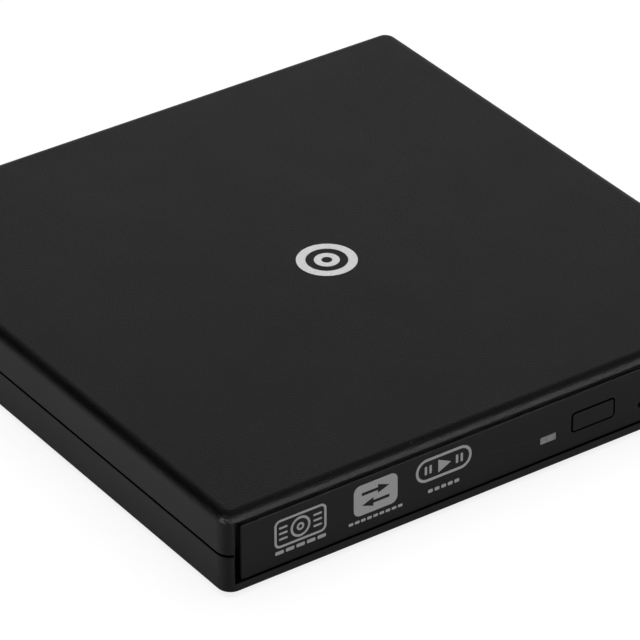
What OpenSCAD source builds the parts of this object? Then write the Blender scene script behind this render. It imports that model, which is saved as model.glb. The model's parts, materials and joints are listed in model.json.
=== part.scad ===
// External slim optical drive: a flat two-part shell around a tray-loading disc drive.
// The origin is at the centre of the footprint, on the plane that the feet rest on.
// +X is to the right seen from the front, +Y is to the back and +Z is up.

/* [Shell] */
// Width of the outer shell, side to side
shell_w = 134.4; // [134.2:0.1:137]
// Depth of the outer shell, front to back
shell_d = 136.2; // [136:0.1:139]
// Height of the outer shell, without its feet
shell_h = 17.5; // [17.4:0.1:18.4]
// Thickness of the shell's walls
wall = 2.1; // [1.8:0.1:2.1]
// Radius of the shell's vertical corners
corner_r = 3; // [2.6:0.1:3.4]
// Radius along the shell's top edges
top_edge_r = 2.3; // [1:0.1:2.4]
// Radius along the shell's bottom edges
bottom_edge_r = 0.9; // [0.4:0.1:1.5]
// Height of the line where the two halves meet, above the shell's underside
parting_h = 8.45; // [8:0.05:9]
// Width of the shadow gap between the two halves
parting_gap = 0.6; // [0.1:0.05:0.7]
// Height of the rubber feet below the shell
foot_h = 0.8; // [0.5:0.1:2]
// Radius of a rubber foot
foot_r = 5; // [4:0.5:7]

/* [Front] */
// Width of the tray's front bezel
bezel_w = 127.4; // [127:0.1:128.4]
// Height of the tray's front bezel
bezel_h = 12.35; // [12:0.05:12.6]
// How far the bezel sits back from the shell's front edge
bezel_inset = 0.25; // [0:0.05:0.4]
// How far the bezel hangs below the middle of the drive unit
bezel_drop = 0.35; // [0:0.05:0.35]
// How much higher the front opening is than the space inside the shell
opening_rise = 0.4; // [0.2:0.05:0.6]
// Width of the eject button
button_w = 9.8; // [8:0.1:12]
// Height of the eject button
button_h = 3.8; // [3:0.1:5]
// Travel of the eject button
button_travel = 0.5; // [0.2:0.1:0.6]
// Width of the indicator window
led_w = 3.8; // [2:0.1:5]
// Height of the indicator window
led_h = 1.6; // [1:0.1:2]
// Radius of the emergency release hole
pinhole_r = 0.6; // [0.4:0.1:0.9]

/* [Drive] */
// Height of the drive unit inside the shell
drive_h = 12.7; // [12.6:0.1:12.8]
// Depth of the drive unit behind its bezel
drive_d = 126.1; // [125.6:0.1:126.2]
// Thickness of the chassis sheet metal
sheet = 0.6; // [0.4:0.1:0.7]
// Radius of the disc that the tray takes
disc_r = 60; // [59:0.5:60]
// How far the pickup moves along the disc's radius
pickup_travel = 34; // [20:1:34]

/* [Hidden] */
$fn = 48;

// Small differences that keep neighbours apart
gap = 0.1;
running = 0.05;
cut = 1;

// The shell
shell_top = foot_h + shell_h;
front_y = -shell_d / 2;
inner_x = shell_w / 2 - wall;
inner_back = shell_d / 2 - wall;
floor_z = foot_h + wall;
ceiling_z = shell_top - wall;
parting_z = foot_h + parting_h;
lip_t = 0.9;
lip_h = 1.3;
foot_sink = 0.6;
foot_x = shell_w / 2 - 12;
foot_y = shell_d / 2 - 12;
foot_edge_r = 0.4;

// The inlaid sign on the lid, over the spindle: each ring's outer and inner radius
emblem_xy = [0.9, -3.4];
emblem_rings = [[6.2, 4.3], [2.6, 1.1]];
emblem_sink = 0.2;
emblem_proud = 0.04;
emblem_clear = 0.02;

// The drive unit, from the shell's floor up
drive_z = (floor_z + ceiling_z - drive_h) / 2;
drive_top = drive_z + drive_h;
drive_x = 64;
bezel_t = 1.8;
bezel_z = drive_z + (drive_h - bezel_h) / 2 - bezel_drop;
bezel_front = front_y + bezel_inset;
bezel_back = bezel_front + bezel_t;
bezel_edge_r = 0.35;
bezel_corner_r = 0.5;
drive_front = bezel_back + gap;
drive_back = drive_front + drive_d;
lid_t = 0.5;
lid_z = drive_top - lid_t;
pan_top = drive_z + sheet;
flange_x = drive_x - lid_t;

// The corner at the back right, where the drive makes room for the bridge board
notch_x = 36;
notch_y = drive_back - 14;

// Levels inside the tray
disc_y = drive_front + 62.35;
disc_seat_z = drive_z + 8.8;
well_z = disc_seat_z - 0.8;
small_well_z = well_z - 0.5;
deck_z = well_z - 1.2;
rim_z = well_z + 2.7;
skirt_z = pan_top + 1.1;
under_cover_t = 0.4;
well_r = disc_r + 0.4;
small_well_r = 40.4;
tray_x = well_r + 1;
tray_front = bezel_back;
tray_back = drive_back - 1.7;
bar_x = tray_x - 0.3;
bar_in_x = bar_x - 3.1;
bar_z = drive_z + 2.5;
skirt_t = 1.5;
front_bar_t = 1.7;
hub_opening_r = 19;
pickup_opening_w = 25;

// The telescopic rails at the tray's sides
rail_z = drive_z + 3.5;
rail_h = 2.2;
rail_in_x = bar_x - 1;
rail_out_x = bar_x + 1;
rail_front = drive_front + 4;
guide_in_x = bar_x + gap;
guide_out_x = flange_x - sheet;
guide_flange = 0.8;

// The front's controls, measured from the middle of the bezel
button_x = 18.6;
button_z = foot_h + 8.1;
button_slot = 0.42;
switch_front = tray_front + 2.9;
button_corner_r = 0.45;
led_x = 7.8;
led_z = foot_h + 6.7;
pinhole_x = 30.2;
pinhole_z = foot_h + 6.2;

// The traverse unit, along the diagonal from the spindle to the front left corner
traverse_angle = 225;
traverse_z = drive_z + 2.8;
traverse_t = 1.2;
traverse_outline = [[-18, -22.5], [56, -22.5], [63, -15], [63, 18], [57.5, 23.5], [-18, 23.5]];
cover_z = deck_z - 0.5;
cover_t = 0.4;
lens_start = 23;
pickup_front = 3.4;
rod_r = 1;
rod_z = drive_z + 3.9;
rod_v = 14.5;
rod_start = 11;
rod_end = lens_start + pickup_travel + pickup_front + 2.1;
screw_r = 1;
screw_v = 20;
screw_z = drive_z + 4.3;
screw_start = 12;
screw_end = rod_end - 3;
lens_r = 1.6;
pickup_back = 9;
damper_places = [[-14, 20], [-14, -19.4], [50, -19.4]];
damper_flange = 0.5;
damper_r = 2.6;
damper_neck_r = 1.95;

// The spindle
shaft_r = 1;
turntable_z = disc_seat_z - 2.2;
turntable_r = 12.4;
hub_r = 7.35;
rotor_r = 11;

// The flat cable under the tray
flex_x = -30;
flex_w = 20;
flex_t = 0.1;
flex_fold_y = -33;
flex_end_y = 26.3;
flex_tray_y = 15.6;

// The latch at the front right
latch_xy = [46, -52];
latch_z = drive_z + 2.2;
latch_t = 1;
post_xy = [51.6, -44.6];
solenoid_x = 37;
solenoid_y = -42;
plunger_z = latch_z + latch_t / 2;

// The ejector at the back left
ejector_x = -54.5;
ejector_z = drive_z + 4.2;
ejector_y = 44;
ejector_travel = 5;
plunger_r = 0.95;
collar_y = ejector_y + 8;
collar_t = 0.6;

// The bridge board and its port at the back right
board_t = 1;
board_z = floor_z + 2;
port_x = 51;
port_w = 7.7;
port_h = 3.95;
port_d = 9.2;
port_mouth = shell_d / 2 - 0.2;
port_z = board_z + board_t;
board_front = notch_y + 0.9;
board_screw_xy = [[42, 62], [60, 62]];

// The screws that hold the shell together
case_screw_y = (drive_back + inner_back) / 2;
case_screw_xs = [-44, -8, 28];
case_screw_r = 0.95;
chassis_screw_ys = [-52, 30];
chassis_screw_z = drive_z + 9.3;

// A box from its lowest corner to its highest
module span(low, high) {
    translate(low) cube(high - low);
}

// A bar with slightly swollen round ends between two points of the plan
module link(a, b, w, t) {
    along = b - a;
    end_r = w * 0.58;
    translate(a) cylinder(r = end_r, h = t);
    translate(b) cylinder(r = end_r, h = t);
    translate(a)
        rotate([0, 0, atan2(along.y, along.x)])
            translate([0, -w / 2, 0]) cube([norm(along), w, t]);
}

// The outline of a slab's edge, from its core out to r, with its own radius above and below
module edge_outline(r, h, upper_r, lower_r) {
    difference() {
        union() {
            translate([0, lower_r]) square([r, h - upper_r - lower_r]);
            if (upper_r > 0) {
                translate([0, h - upper_r]) square([r - upper_r, upper_r]);
                translate([r - upper_r, h - upper_r]) circle(upper_r);
            }
            if (lower_r > 0) {
                square([r - lower_r, lower_r]);
                translate([r - lower_r, lower_r]) circle(lower_r);
            }
        }
        translate([-2 * r, -cut]) square([2 * r, h + 2 * cut]);
    }
}

// A straight edge of a slab, along X
module edge_bar(length, r, h, upper_r, lower_r) {
    rotate([90, 0, 90])
        translate([0, 0, -length / 2])
            linear_extrude(length) edge_outline(r, h, upper_r, lower_r);
}

// A slab standing on z = 0, with rounded vertical corners and rounded upper and lower edges
module rounded_slab(w, d, h, r, upper_r = 0, lower_r = 0) {
    core_x = w / 2 - r;
    core_y = d / 2 - r;
    union() {
        translate([-core_x, -core_y, 0]) cube([2 * core_x, 2 * core_y, h]);
        for (turn = [0, 180]) rotate([0, 0, turn]) {
            translate([0, core_y, 0]) edge_bar(2 * core_x, r, h, upper_r, lower_r);
            rotate([0, 0, -90])
                translate([0, core_x, 0]) edge_bar(2 * core_y, r, h, upper_r, lower_r);
            translate([core_x, core_y, 0])
                rotate_extrude(angle = 90) edge_outline(r, h, upper_r, lower_r);
            translate([-core_x, core_y, 0])
                rotate([0, 0, 90])
                    rotate_extrude(angle = 90) edge_outline(r, h, upper_r, lower_r);
        }
    }
}

// A coil spring that stands on z = 0: a wire of six sides swept up a helix
function helix_point(k, sides, j, r, wire_r, turns, h, steps) =
    let (
        a = 360 * turns * k / steps,
        b = 360 * j / sides,
        out = r + wire_r * cos(b)
    )
    [out * cos(a), out * sin(a), wire_r + (h - 2 * wire_r) * k / steps + wire_r * sin(b)];

module coil(r, wire_r, turns, h) {
    sides = 6;
    steps = turns * 20;
    points = [
        for (k = [0 : steps], j = [0 : sides - 1])
            helix_point(k, sides, j, r, wire_r, turns, h, steps)
    ];
    walls = [
        for (k = [0 : steps - 1], j = [0 : sides - 1])
            let (n = (j + 1) % sides, row = k * sides)
            [row + j, row + sides + j, row + sides + n, row + n]
    ];
    start = [for (j = [0 : sides - 1]) j];
    end = [for (j = [sides - 1 : -1 : 0]) steps * sides + j];
    polyhedron(points, concat(walls, [start, end]));
}

// A screw with a flat head at the bottom, pointing up, and a cross recess in the head
module cross_screw(shank_r, length, head_r, head_h) {
    slot_w = head_r * 0.28;
    slot_l = head_r * 1.3;
    difference() {
        union() {
            cylinder(r = head_r, h = head_h);
            translate([0, 0, head_h - running]) cylinder(r = shank_r, h = length);
        }
        for (turn = [0, 90]) rotate([0, 0, turn])
            translate([-slot_l / 2, -slot_w / 2, -cut]) cube([slot_l, slot_w, cut + head_h * 0.6]);
    }
}

// Children are placed in the traverse's own axes: X outwards from the spindle, Z up
module on_traverse() {
    translate([0, disc_y, 0]) rotate([0, 0, traverse_angle]) children();
}

// The drive's plan: a rectangle without its corner at the back right
module drive_plan(inset) {
    difference() {
        translate([-drive_x + inset, drive_front + inset])
            square([2 * (drive_x - inset), drive_d - 2 * inset]);
        translate([notch_x - inset, notch_y - inset])
            square([drive_x, drive_d]);
    }
}

// The opening for the cable at the back, through both halves of the shell
module port_opening() {
    clear = 0.4;
    span(
        [port_x - port_w / 2 - clear, inner_back - cut, port_z - clear],
        [port_x + port_w / 2 + clear, shell_d / 2 + cut, port_z + port_h + clear]
    );
}

// ---- The shell ----

module top_cover() {
    lower_z = parting_z + parting_gap / 2;
    rib_w = 2;
    boss_r = 2.3;
    color("#2c2c2f") difference() {
        union() {
            difference() {
                translate([0, 0, lower_z])
                    rounded_slab(shell_w, shell_d, shell_top - lower_z, corner_r, top_edge_r);
                span([-inner_x, front_y - cut, 0], [inner_x, inner_back, ceiling_z]);
                span([-inner_x, front_y - cut, 0], [inner_x, drive_front, ceiling_z + opening_rise]);
            }
            // The lip that drops inside the bottom cover's wall
            difference() {
                span(
                    [-inner_x - lip_t, front_y + 1.6, parting_z - lip_h],
                    [inner_x + lip_t, inner_back + lip_t, lower_z + running]
                );
                span([-inner_x, front_y, 0], [inner_x, inner_back, shell_top]);
            }
            // Ribs that hold the drive down
            for (side = [-1, 1])
                span(
                    [side * 40 - rib_w / 2, front_y + 6, drive_top],
                    [side * 40 + rib_w / 2, inner_back - 8, ceiling_z + running]
                );
            for (x = case_screw_xs)
                translate([x, case_screw_y, lower_z])
                    cylinder(r = boss_r, h = ceiling_z - lower_z + running);
        }
        for (x = case_screw_xs)
            translate([x, case_screw_y, lower_z - cut])
                cylinder(r = case_screw_r + running, h = 5 + cut);
        port_opening();
        emblem_shape(emblem_sink + cut, shell_top - emblem_sink, emblem_clear);
    }
}

module bottom_cover() {
    upper_z = parting_z - parting_gap / 2;
    rib_w = 2;
    boss_r = 2.5;
    color("#2c2c2f") difference() {
        union() {
            difference() {
                translate([0, 0, foot_h])
                    rounded_slab(shell_w, shell_d, upper_z - foot_h, corner_r, 0, bottom_edge_r);
                span([-inner_x, front_y - cut, floor_z], [inner_x, inner_back, shell_top]);
                // The seat for the top cover's lip
                span(
                    [-inner_x - lip_t - gap, front_y + 1.5, parting_z - lip_h - gap],
                    [inner_x + lip_t + gap, inner_back + lip_t + gap, shell_top]
                );
            }
            // Ribs that carry the drive
            for (side = [-1, 1])
                span(
                    [side * 40 - rib_w / 2, front_y + 6, floor_z - running],
                    [side * 40 + rib_w / 2, drive_back - 16, drive_z]
                );
            for (x = case_screw_xs)
                translate([x, case_screw_y, floor_z - running])
                    cylinder(r = boss_r, h = upper_z - floor_z + running);
            for (p = board_screw_xy)
                translate([p.x, p.y, floor_z - running])
                    cylinder(r = 1.9, h = board_z - floor_z + running);
        }
        for (x = case_screw_xs) {
            translate([x, case_screw_y, foot_h - cut]) cylinder(r = 2.3, h = cut + 1.6);
            translate([x, case_screw_y, foot_h]) cylinder(r = 1.2, h = shell_h);
        }
        for (p = board_screw_xy)
            translate([p.x, p.y, floor_z - 0.4]) cylinder(r = 0.85, h = board_z);
        for (sx = [-1, 1], sy = [-1, 1])
            translate([sx * foot_x, sy * foot_y, foot_h - cut])
                cylinder(r = foot_r + gap, h = cut + foot_sink);
        port_opening();
    }
}

module rubber_feet() {
    h = foot_h + foot_sink;
    color("#1a1a1a") for (sx = [-1, 1], sy = [-1, 1])
        translate([sx * foot_x, sy * foot_y, 0])
            rotate_extrude() {
                translate([0, foot_edge_r]) square([foot_r, h - foot_edge_r]);
                square([foot_r - foot_edge_r, foot_edge_r]);
                intersection() {
                    translate([foot_r - foot_edge_r, foot_edge_r]) circle(foot_edge_r);
                    square(foot_r);
                }
            }
}

module case_screws() {
    color("#5b5b5e") for (x = case_screw_xs)
        translate([x, case_screw_y, foot_h + 0.4])
            cross_screw(case_screw_r, 10.5, 2, 1.2);
}

// A plain disc sign: a broad ring round a small one
module emblem_shape(h, z, grow) {
    for (ring = emblem_rings)
        translate([emblem_xy.x, emblem_xy.y, z]) difference() {
            cylinder(r = ring[0] + grow, h = h);
            translate([0, 0, -cut]) cylinder(r = ring[1] - grow, h = h + 2 * cut);
        }
}

module top_emblem() {
    color("#dcdcdc") emblem_shape(emblem_sink + emblem_proud, shell_top - emblem_sink, 0);
}

// ---- The bridge board and its port ----

module bridge_board() {
    color("#1f5a38") difference() {
        span([notch_x + 1.5, board_front, board_z], [drive_x + 0.6, inner_back - 0.3, board_z + board_t]);
        for (p = board_screw_xy)
            translate([p.x, p.y, board_z - cut]) cylinder(r = 0.9, h = board_t + 2 * cut);
    }
}

module bridge_chip() {
    color("#202020")
        span([44, board_front + 6.2, port_z], [50, board_front + 10.4, port_z + 1]);
}

module sata_socket() {
    color("#1c1c1c")
        span([notch_x + 2.5, board_front, port_z], [57.5, board_front + 4, port_z + 3.2]);
}

module board_screws() {
    color("#9a9a9e") for (p = board_screw_xy)
        translate([p.x, p.y, board_z + board_t + 0.8])
            rotate([180, 0, 0]) cross_screw(0.8, 2.6, 1.7, 0.8);
}

// The port's section: wide at the top, drawn in at the bottom, grown by e on each side
module port_section(e) {
    half = port_w / 2 + e;
    step = 0.9;
    polygon([
        [-half, port_h + e], [half, port_h + e], [half, 1.5 * step], [half - step, 0.6 * step],
        [half - step, -e], [-half + step, -e], [-half + step, 0.6 * step], [-half, 1.5 * step]
    ]);
}

module usb_shell() {
    skin = 0.35;
    color("#b9b9bc") translate([port_x, port_mouth, port_z])
        rotate([90, 0, 0]) difference() {
            linear_extrude(port_d) port_section(0);
            translate([0, 0, -cut]) linear_extrude(port_d - skin + cut) port_section(-skin);
        }
}

module usb_tongue() {
    back = port_mouth - port_d + 0.45;
    color("#151515") {
        span([port_x - 2.5, back, port_z + 1.6], [port_x + 2.5, port_mouth - 1.2, port_z + 2.4]);
        span([port_x - 2.4, back, port_z + 0.6], [port_x + 2.4, back + 1.2, port_z + port_h - 0.6]);
    }
}

// ---- The drive's chassis ----

module chassis_pan() {
    color("#b4b6b8") difference() {
        translate([0, 0, drive_z]) linear_extrude(lid_z - drive_z) drive_plan(lid_t);
        translate([0, 0, pan_top]) linear_extrude(drive_h) drive_plan(lid_t + sheet);
        // The front is open for the tray
        span(
            [-guide_out_x, drive_front - cut, pan_top],
            [guide_out_x, drive_front + 3, drive_top]
        );
        span([notch_x + 2.2, notch_y - 2, board_z + 0.2], [57.8, notch_y + 2, board_z + 5]);
        for (side = [-1, 1], y = chassis_screw_ys)
            translate([side * drive_x, y, chassis_screw_z])
                rotate([0, 90, 0]) cylinder(r = 1.05, h = 4, center = true);
        translate([post_xy.x, post_xy.y, drive_z - cut]) cylinder(r = 1, h = sheet + 2 * cut);
    }
}

module chassis_lid() {
    flange_z = drive_z + 6;
    color("#bfc1c3") difference() {
        union() {
            translate([0, 0, lid_z]) linear_extrude(lid_t) drive_plan(0);
            for (side = [0, 1]) mirror([side, 0, 0])
                span([-drive_x, drive_front, flange_z], [-flange_x, notch_y - 4, drive_top]);
        }
        for (side = [-1, 1], y = chassis_screw_ys)
            translate([side * drive_x, y, chassis_screw_z])
                rotate([0, 90, 0]) cylinder(r = 1.05, h = 4, center = true);
    }
}

module chassis_screws() {
    head_h = 0.4;
    color("#8d8d90") for (side = [0, 1], y = chassis_screw_ys)
        mirror([side, 0, 0])
            translate([-drive_x - head_h, y, chassis_screw_z])
                rotate([0, 90, 0]) cross_screw(0.95, 1.5, 1.7, head_h);
}

// A channel on the chassis wall that holds the rail's outer edge
module guide(back) {
    low = rail_z - gap - guide_flange;
    high = rail_z + rail_h + gap + guide_flange;
    color("#d9d9d4") difference() {
        span([-guide_out_x, drive_front + 3.2, low], [-guide_in_x, back, high]);
        span(
            [-rail_out_x - gap, drive_front, rail_z - gap],
            [0, back + cut, rail_z + rail_h + gap]
        );
    }
}

module left_guide() {
    guide(drive_back - 2);
}

module right_guide() {
    mirror([1, 0, 0]) guide(notch_y - 1.3);
}

module main_board() {
    color("#1d4f74") difference() {
        union() {
            span([-57, 27, pan_top + 0.5], [34, drive_back - 1.2, pan_top + 1.3]);
            span([33.9, 27, pan_top + 0.5], [57, notch_y - 1.3, pan_top + 1.3]);
        }
        // Room for the ejector at the back left
        span([-cut - drive_x, ejector_y - 1.5, 0], [ejector_x + 3.6, drive_back, drive_top]);
    }
}

// A flat chip body on the main board
module chip(x, y, w, d, h) {
    z = pan_top + 1.3;
    span([x - w / 2, y - d / 2, z], [x + w / 2, y + d / 2, z + h]);
}

module controller_chip() {
    color("#232323") chip(-18, 45, 14, 14, 1.4);
}

module driver_chip() {
    color("#232323") chip(12, 44, 10, 8, 1.2);
}

module flex_socket() {
    color("#e6e2d6") chip(-30, 30, 22, 3.4, 1.6);
}

module sata_plug() {
    color("#1c1c1c")
        span(
            [notch_x + 2.8, notch_y - 5, pan_top + 1.3],
            [57.2, board_front - running, pan_top + 4.3]
        );
}

module latch_post() {
    color("#c9c9cc") translate([post_xy.x, post_xy.y, drive_z]) {
        cylinder(r = 0.95, h = sheet);
        translate([0, 0, sheet]) cylinder(r = 1.3, h = 1.2);
    }
}

// ---- The spring ejector ----

module ejector_housing() {
    back = drive_back - 1.2;
    color("#3a3a3d") difference() {
        span(
            [ejector_x - 2.6, ejector_y + 0.6, pan_top],
            [ejector_x + 2.6, back, ejector_z + 2.4]
        );
        translate([ejector_x, ejector_y + 2, ejector_z])
            rotate([-90, 0, 0]) cylinder(r = 1.8, h = back - ejector_y - 2.6);
        translate([ejector_x, ejector_y, ejector_z])
            rotate([-90, 0, 0]) cylinder(r = plunger_r + running, h = 3);
    }
}

module ejector_plunger() {
    nose_y = ejector_y - 0.4;
    color("#e8e8e4") translate([ejector_x, nose_y, ejector_z]) rotate([-90, 0, 0]) {
        cylinder(r = plunger_r, h = 14);
        translate([0, 0, collar_y - nose_y]) cylinder(r = 1.6, h = collar_t);
    }
}

module ejector_spring() {
    start = collar_y + collar_t + running;
    color("#c8c8cc") translate([ejector_x, start, ejector_z])
        rotate([-90, 0, 0]) coil(1.4, 0.2, 8, drive_back - 1.9 - start);
}

// ---- The rails ----

module rail(back) {
    color("#c4c6c8")
        span([-rail_out_x, rail_front, rail_z], [-rail_in_x, back, rail_z + rail_h]);
}

module left_rail() {
    rail(drive_back - 5);
}

module right_rail() {
    mirror([1, 0, 0]) rail(notch_y - 1.2);
}

// ---- The tray ----

// The hole in the deck that shows the spindle and the pickup's path
module deck_opening(h) {
    cylinder(r = hub_opening_r, h = h);
    translate([0, -pickup_opening_w / 2, 0]) cube([60, pickup_opening_w, h]);
}

module tray() {
    corner_x = notch_x - 1.5;
    corner_y = notch_y - 1.6;
    color("#1d1d20") difference() {
        union() {
            // The deck and the rim round the disc
            difference() {
                span([-tray_x, tray_front, deck_z], [tray_x, tray_back, rim_z]);
                translate([0, disc_y, well_z]) cylinder(r = well_r, h = drive_h, $fn = 96);
                translate([0, disc_y, small_well_z]) cylinder(r = small_well_r, h = drive_h);
            }
            // The bars that run on the rails, and the skirts inside them
            for (side = [0, 1]) mirror([side, 0, 0]) {
                span([-bar_x, tray_front, bar_z], [-bar_in_x, tray_back, deck_z + running]);
                span([-bar_in_x - running, tray_front, skirt_z],
                     [-bar_in_x + skirt_t, 15, deck_z + running]);
            }
            span([-bar_x, tray_front, skirt_z], [bar_x, tray_front + front_bar_t, rim_z]);
            on_traverse() for (p = damper_places)
                translate([p.x, p.y, traverse_z + traverse_t + damper_flange])
                    cylinder(r = 2.4, h = deck_z - traverse_z - traverse_t - damper_flange + running);
            translate([latch_xy.x, latch_xy.y, latch_z + latch_t + 0.2])
                cylinder(r = 2.3, h = deck_z - latch_z - latch_t - 0.2 + running);
            // The cup that the ejector pushes
            span(
                [ejector_x - 2.6, ejector_y - ejector_travel - 2.2, ejector_z - 2],
                [ejector_x + 2.6, ejector_y - 0.5, deck_z + running]
            );
        }
        // The corner at the back right
        span([corner_x, corner_y, 0], [drive_x, drive_back, drive_top]);
        // Grooves for the rails
        for (side = [0, 1]) mirror([side, 0, 0])
            span(
                [-bar_x - cut, tray_front + front_bar_t + gap, rail_z - gap],
                [-rail_in_x + gap, drive_back, rail_z + rail_h + gap]
            );
        on_traverse() translate([0, 0, deck_z - cut]) deck_opening(5);
        on_traverse() for (p = damper_places)
            translate([p.x, p.y, traverse_z]) cylinder(r = 0.85, h = deck_z - traverse_z - 0.4);
        translate([latch_xy.x, latch_xy.y, latch_z]) cylinder(r = 0.97, h = deck_z - latch_z - 0.4);
        translate([ejector_x, ejector_y - ejector_travel - 1, ejector_z])
            rotate([-90, 0, 0]) cylinder(r = 1.4, h = ejector_travel + cut);
        // Ways through the front bar for the button, the indicator and the release pin
        span(
            [button_x - 3, tray_front - cut, button_z - 2.4],
            [button_x + 3, tray_front + front_bar_t + cut, button_z + 1.2]
        );
        span(
            [button_x - button_w / 2 - 1.2, tray_front - cut, button_z - button_h / 2 - 1],
            [button_x + button_w / 2 + 1.2, tray_front + 1.3, button_z + button_h / 2 + 1]
        );
        span(
            [led_x - led_w / 2 - gap, tray_front - cut, led_z - led_h / 2 - gap],
            [led_x + led_w / 2 + gap, tray_front + front_bar_t + cut, led_z + led_h / 2 + gap]
        );
        translate([pinhole_x, tray_front - cut, pinhole_z])
            rotate([-90, 0, 0]) cylinder(r = 0.8, h = front_bar_t + 2 * cut);
    }
}

// A rounded rectangle as a plate that is t deep along +Y, with its front at y = 0
module plate(w, h, t, r) {
    translate([0, t, 0]) rotate([90, 0, 0]) linear_extrude(t) {
        square([w - 2 * r, h], center = true);
        square([w, h - 2 * r], center = true);
        for (sx = [-1, 1], sz = [-1, 1])
            translate([sx * (w / 2 - r), sz * (h / 2 - r)]) circle(r);
    }
}

module bezel() {
    middle_z = bezel_z + bezel_h / 2;
    color("#242427") difference() {
        translate([0, bezel_back, middle_z])
            rotate([90, 0, 0]) rounded_slab(bezel_w, bezel_h, bezel_t, bezel_corner_r, bezel_edge_r);
        translate([button_x, bezel_front - cut, button_z])
            plate(button_w + 2 * button_slot, button_h + 2 * button_slot, bezel_t + 2 * cut,
                  button_corner_r + button_slot);
        translate([led_x, bezel_front - cut, led_z])
            plate(led_w + gap, led_h + gap, bezel_t + 2 * cut, 0.2);
        translate([pinhole_x, bezel_front - cut, pinhole_z])
            rotate([-90, 0, 0]) cylinder(r = pinhole_r, h = bezel_t + 2 * cut);
    }
}

module led_window() {
    color("#9b9b9b") translate([led_x, bezel_front + 0.1, led_z])
        plate(led_w, led_h, bezel_t + front_bar_t, 0.2);
}

module eject_button() {
    flange = 0.7;
    color("#2e2e31") {
        translate([button_x, bezel_front - 0.05, button_z])
            plate(button_w, button_h, bezel_t + 0.35, button_corner_r);
        translate([button_x, bezel_back + 0.2, button_z])
            plate(button_w + 2 * flange, button_h + 2 * flange, 0.5, button_corner_r);
        span(
            [button_x - 2.6, bezel_back + 0.6, button_z - 2.2],
            [button_x + 2.6, switch_front - button_travel - gap, button_z - 0.4]
        );
    }
}

module button_board() {
    color("#1f5a38")
        span([-6, tray_front + 1.8, drive_z + 2.2], [27, tray_front + 11, drive_z + 3]);
}

module button_switch() {
    top = drive_z + 3;
    color("#c9c9cc") span([button_x - 3, tray_front + 3.4, top], [button_x + 3, tray_front + 6.8, top + 2.4]);
    color("#1c1c1c") span([button_x - 1, switch_front, top + 0.7], [button_x + 1, tray_front + 3.5, top + 1.9]);
}

module indicator_led() {
    top = drive_z + 3;
    color("#f2f2ee") span([led_x - 1, tray_front + 1.9, top], [led_x + 1, tray_front + 3.1, top + 1.9]);
}

module tray_bottom_cover() {
    slot_w = 3.6;
    color("#a9abad") difference() {
        span([-bar_in_x, tray_front + 0.1, skirt_z - under_cover_t], [bar_in_x, 15, skirt_z]);
        span([post_xy.x - slot_w / 2, post_xy.y - 2.2, 0], [post_xy.x + slot_w / 2, 20, drive_top]);
    }
}

// The flat cable folded under the tray, from the main board's socket to the tray
module tray_flex() {
    low = pan_top + 0.06;
    high = skirt_z - under_cover_t - 0.06;
    fold_r = (high - low) / 2;
    color("#c98f3a") {
        span(
            [flex_x - flex_w / 2, flex_fold_y, low],
            [flex_x + flex_w / 2, flex_end_y + flex_t, low + flex_t]
        );
        span(
            [flex_x - flex_w / 2, flex_fold_y, high - flex_t],
            [flex_x + flex_w / 2, flex_tray_y, high]
        );
        translate([flex_x - flex_w / 2, flex_fold_y, (low + high) / 2])
            rotate([0, 90, 0]) rotate([0, 0, 180]) rotate_extrude(angle = 180)
                translate([fold_r - flex_t, 0]) square([flex_t, flex_w]);
        // The fixed end rises into its socket, and the free end rises to the deck
        span(
            [flex_x - flex_w / 2, flex_end_y, low],
            [flex_x + flex_w / 2, flex_end_y + flex_t, pan_top + 2]
        );
        span(
            [flex_x - flex_w / 2, flex_end_y, pan_top + 2 - flex_t],
            [flex_x + flex_w / 2, 28.3, pan_top + 2]
        );
        span(
            [flex_x - flex_w / 2, flex_tray_y - flex_t, high - flex_t],
            [flex_x + flex_w / 2, flex_tray_y, deck_z]
        );
    }
}

// ---- The latch ----

module latch_pivot() {
    color("#c9c9cc") translate([latch_xy.x, latch_xy.y, latch_z - 0.4]) {
        cylinder(r = 1.6, h = 0.3);
        cylinder(r = 0.94, h = deck_z - latch_z - 0.2);
    }
}

module latch_lever() {
    width = 2.6;
    hook = [53, -43.4];
    arm = [31, -58.6];
    color("#e4e4df") translate([0, 0, latch_z]) difference() {
        union() {
            link(latch_xy, hook, width, latch_t);
            link(hook, hook + [-1.4, 1.2], width, latch_t);
            link(latch_xy, arm, width, latch_t);
        }
        translate([latch_xy.x, latch_xy.y, -cut]) cylinder(r = 1, h = latch_t + 2 * cut);
    }
}

module latch_spring() {
    color("#c8c8cc") translate([latch_xy.x, latch_xy.y, latch_z + latch_t + 0.4])
        coil(2.75, 0.2, 4, 2);
}

module solenoid() {
    color("#8a5a2c") difference() {
        span(
            [solenoid_x - 5, solenoid_y - 6, drive_z + 1.8],
            [solenoid_x + 5, solenoid_y + 6, deck_z - 0.2]
        );
        translate([solenoid_x, solenoid_y - 6 - cut, plunger_z])
            rotate([-90, 0, 0]) cylinder(r = 0.9, h = 9 + cut);
    }
}

module solenoid_plunger() {
    tip_y = latch_xy.y - 2.2;
    color("#d0d0d3") translate([solenoid_x, tip_y, plunger_z])
        rotate([-90, 0, 0]) cylinder(r = 0.84, h = 12);
}

// ---- The traverse unit ----

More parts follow.
